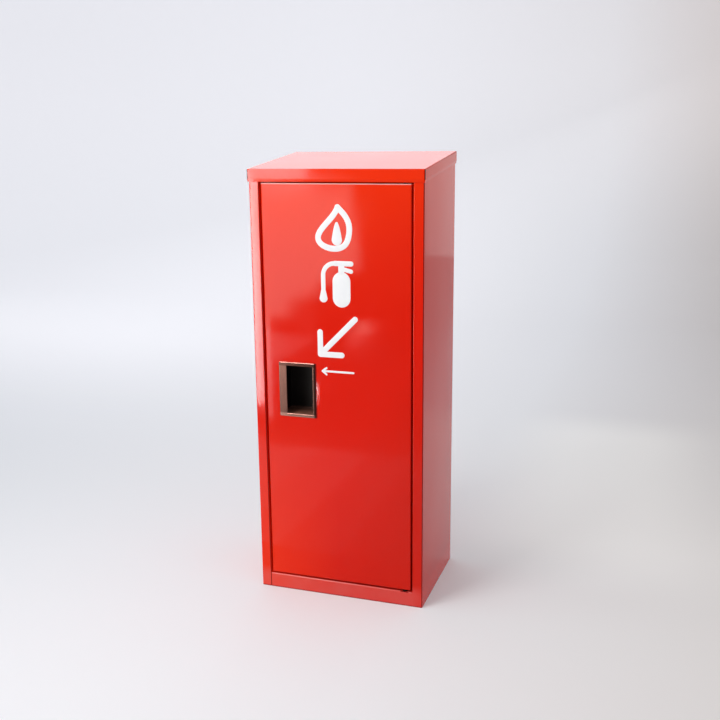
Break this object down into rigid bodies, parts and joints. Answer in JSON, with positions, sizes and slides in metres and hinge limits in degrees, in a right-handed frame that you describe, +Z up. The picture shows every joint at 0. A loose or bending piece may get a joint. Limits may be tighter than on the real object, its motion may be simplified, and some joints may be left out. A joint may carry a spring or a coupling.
{
  "type": "fire extinguisher cabinet",
  "caption": "Tall floor-standing red sheet-steel cabinet with a sloping roof cap and a hinged door with a recessed pull.",
  "frame": {"origin": "middle of the footprint, on the floor", "axes": "+Z up, +X to the right as one faces the door, +Y from the door to the back"},
  "size_m": [0.253, 0.179, 0.6398],
  "materials": {
    "red_paint": "gloss",
    "door_paint": "gloss",
    "satin_steel": "satin",
    "plain_steel": "zinc plated",
    "dark_plastic": "matte",
    "magnet": "sintered",
    "bumper_rubber": "matte"
  },
  "bodies": {
    "cabinet": {"left_side": "red_paint", "right_side": "red_paint", "back_panel": "red_paint", "floor_pan": "red_paint", "bottom_rail": "red_paint", "top_rail": "red_paint", "roof_cap": "red_paint", "upper_pivot_bracket": "plain_steel", "lower_pivot_bracket": "plain_steel", "upper_pivot_pin": "plain_steel", "lower_pivot_pin": "plain_steel", "lower_pivot_washer": "dark_plastic", "catch_bracket": "red_paint", "catch_case": "dark_plastic", "catch_magnet": "magnet", "catch_poles": "plain_steel", "upper_bumper": "bumper_rubber", "lower_bumper": "bumper_rubber"},
    "door": {"door_panel": "door_paint", "upper_pivot_plate": "plain_steel", "lower_pivot_plate": "plain_steel", "strike_plate": "plain_steel", "pull_frame": "satin_steel", "pull_pocket": "satin_steel", "pull_clamp": "plain_steel"}
  },
  "joints": [
    {"name": "door_hinge", "type": "hinge", "parent": "cabinet", "child": "door", "pos_m": [0.0985, -0.083, 0.0245], "axis": [0, 0, 1], "range_deg": [0, 100]}
  ]
}
